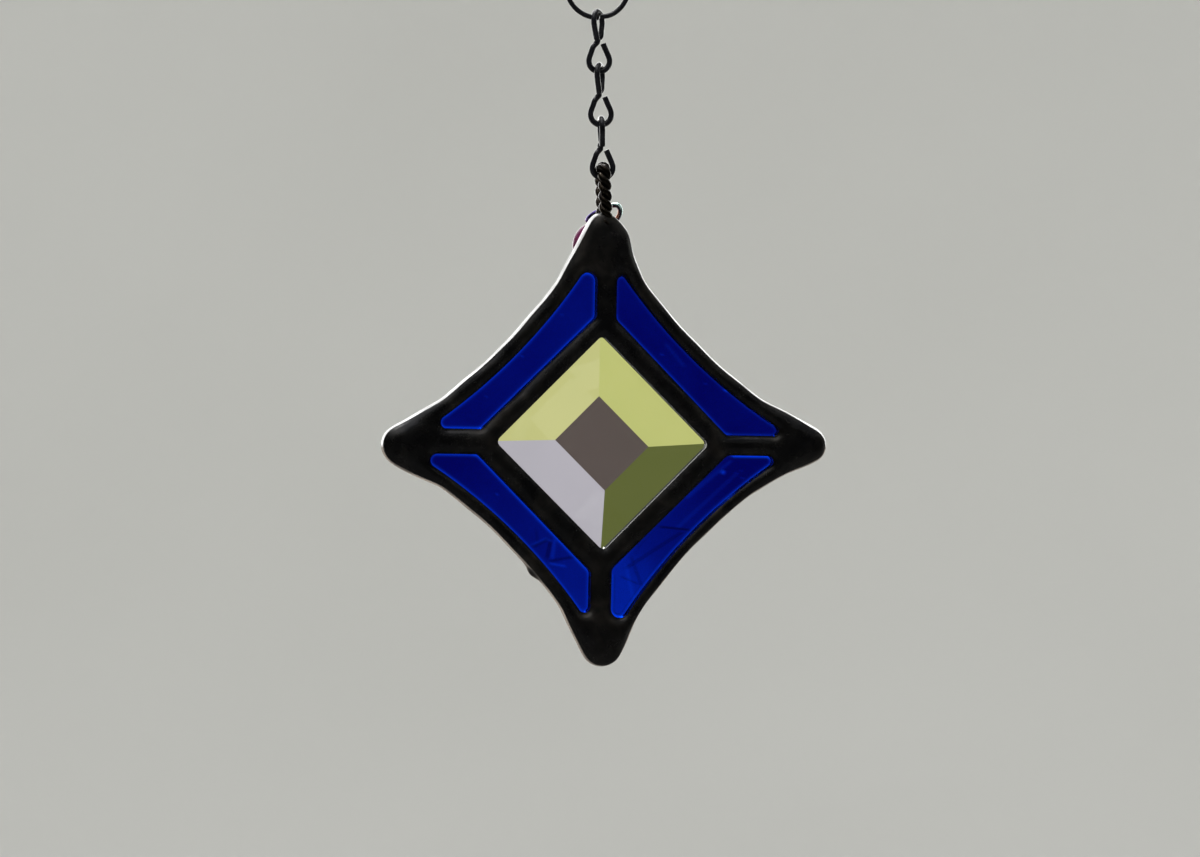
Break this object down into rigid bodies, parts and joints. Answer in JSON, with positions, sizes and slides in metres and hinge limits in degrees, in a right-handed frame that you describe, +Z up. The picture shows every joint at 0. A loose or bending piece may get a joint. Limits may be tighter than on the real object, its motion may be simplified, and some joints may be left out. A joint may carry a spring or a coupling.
{
  "type": "stained glass suncatcher",
  "caption": "Hanging star of blue glass strips round a clear bevelled square, in black solder seams, on a twisted wire and a short chain with a ring; a glass bead on a wire behind.",
  "frame": {"origin": "the point inside the top of the hanging ring that rests on the hook", "axes": "+Z up; +X to the viewer's right; the flat side of the bevelled square faces the viewer at -Y, and the bead is on the +Y side"},
  "size_m": [0.0674, 0.013, 0.1071],
  "materials": {
    "black_wire": "glossy black plating over round wire",
    "twisted_wire": "blackened wire, worn brown and bright on the ridges",
    "patinated_solder": "black patina, waxed to a soft gloss",
    "clear_glass": "polished clear plate glass with ground and polished bevels",
    "blue_glass": "cathedral glass, deep cobalt blue, smooth with a few seeds and creases",
    "plum_glass": "glossy translucent plum glass",
    "purple_wire": "metallic purple enamel on soft wire"
  },
  "bodies": {
    "root": {"hanging_ring": "black_wire", "chain_link_1": "black_wire", "chain_link_2": "black_wire", "chain_link_3": "black_wire", "twisted_hanger": "twisted_wire", "solder_frame": "patinated_solder", "bevelled_centre": "clear_glass", "blue_pane_upper_right": "blue_glass", "blue_pane_upper_left": "blue_glass", "blue_pane_lower_left": "blue_glass", "blue_pane_lower_right": "blue_glass", "bead": "plum_glass", "bead_wire": "purple_wire"}
  },
  "joints": []
}
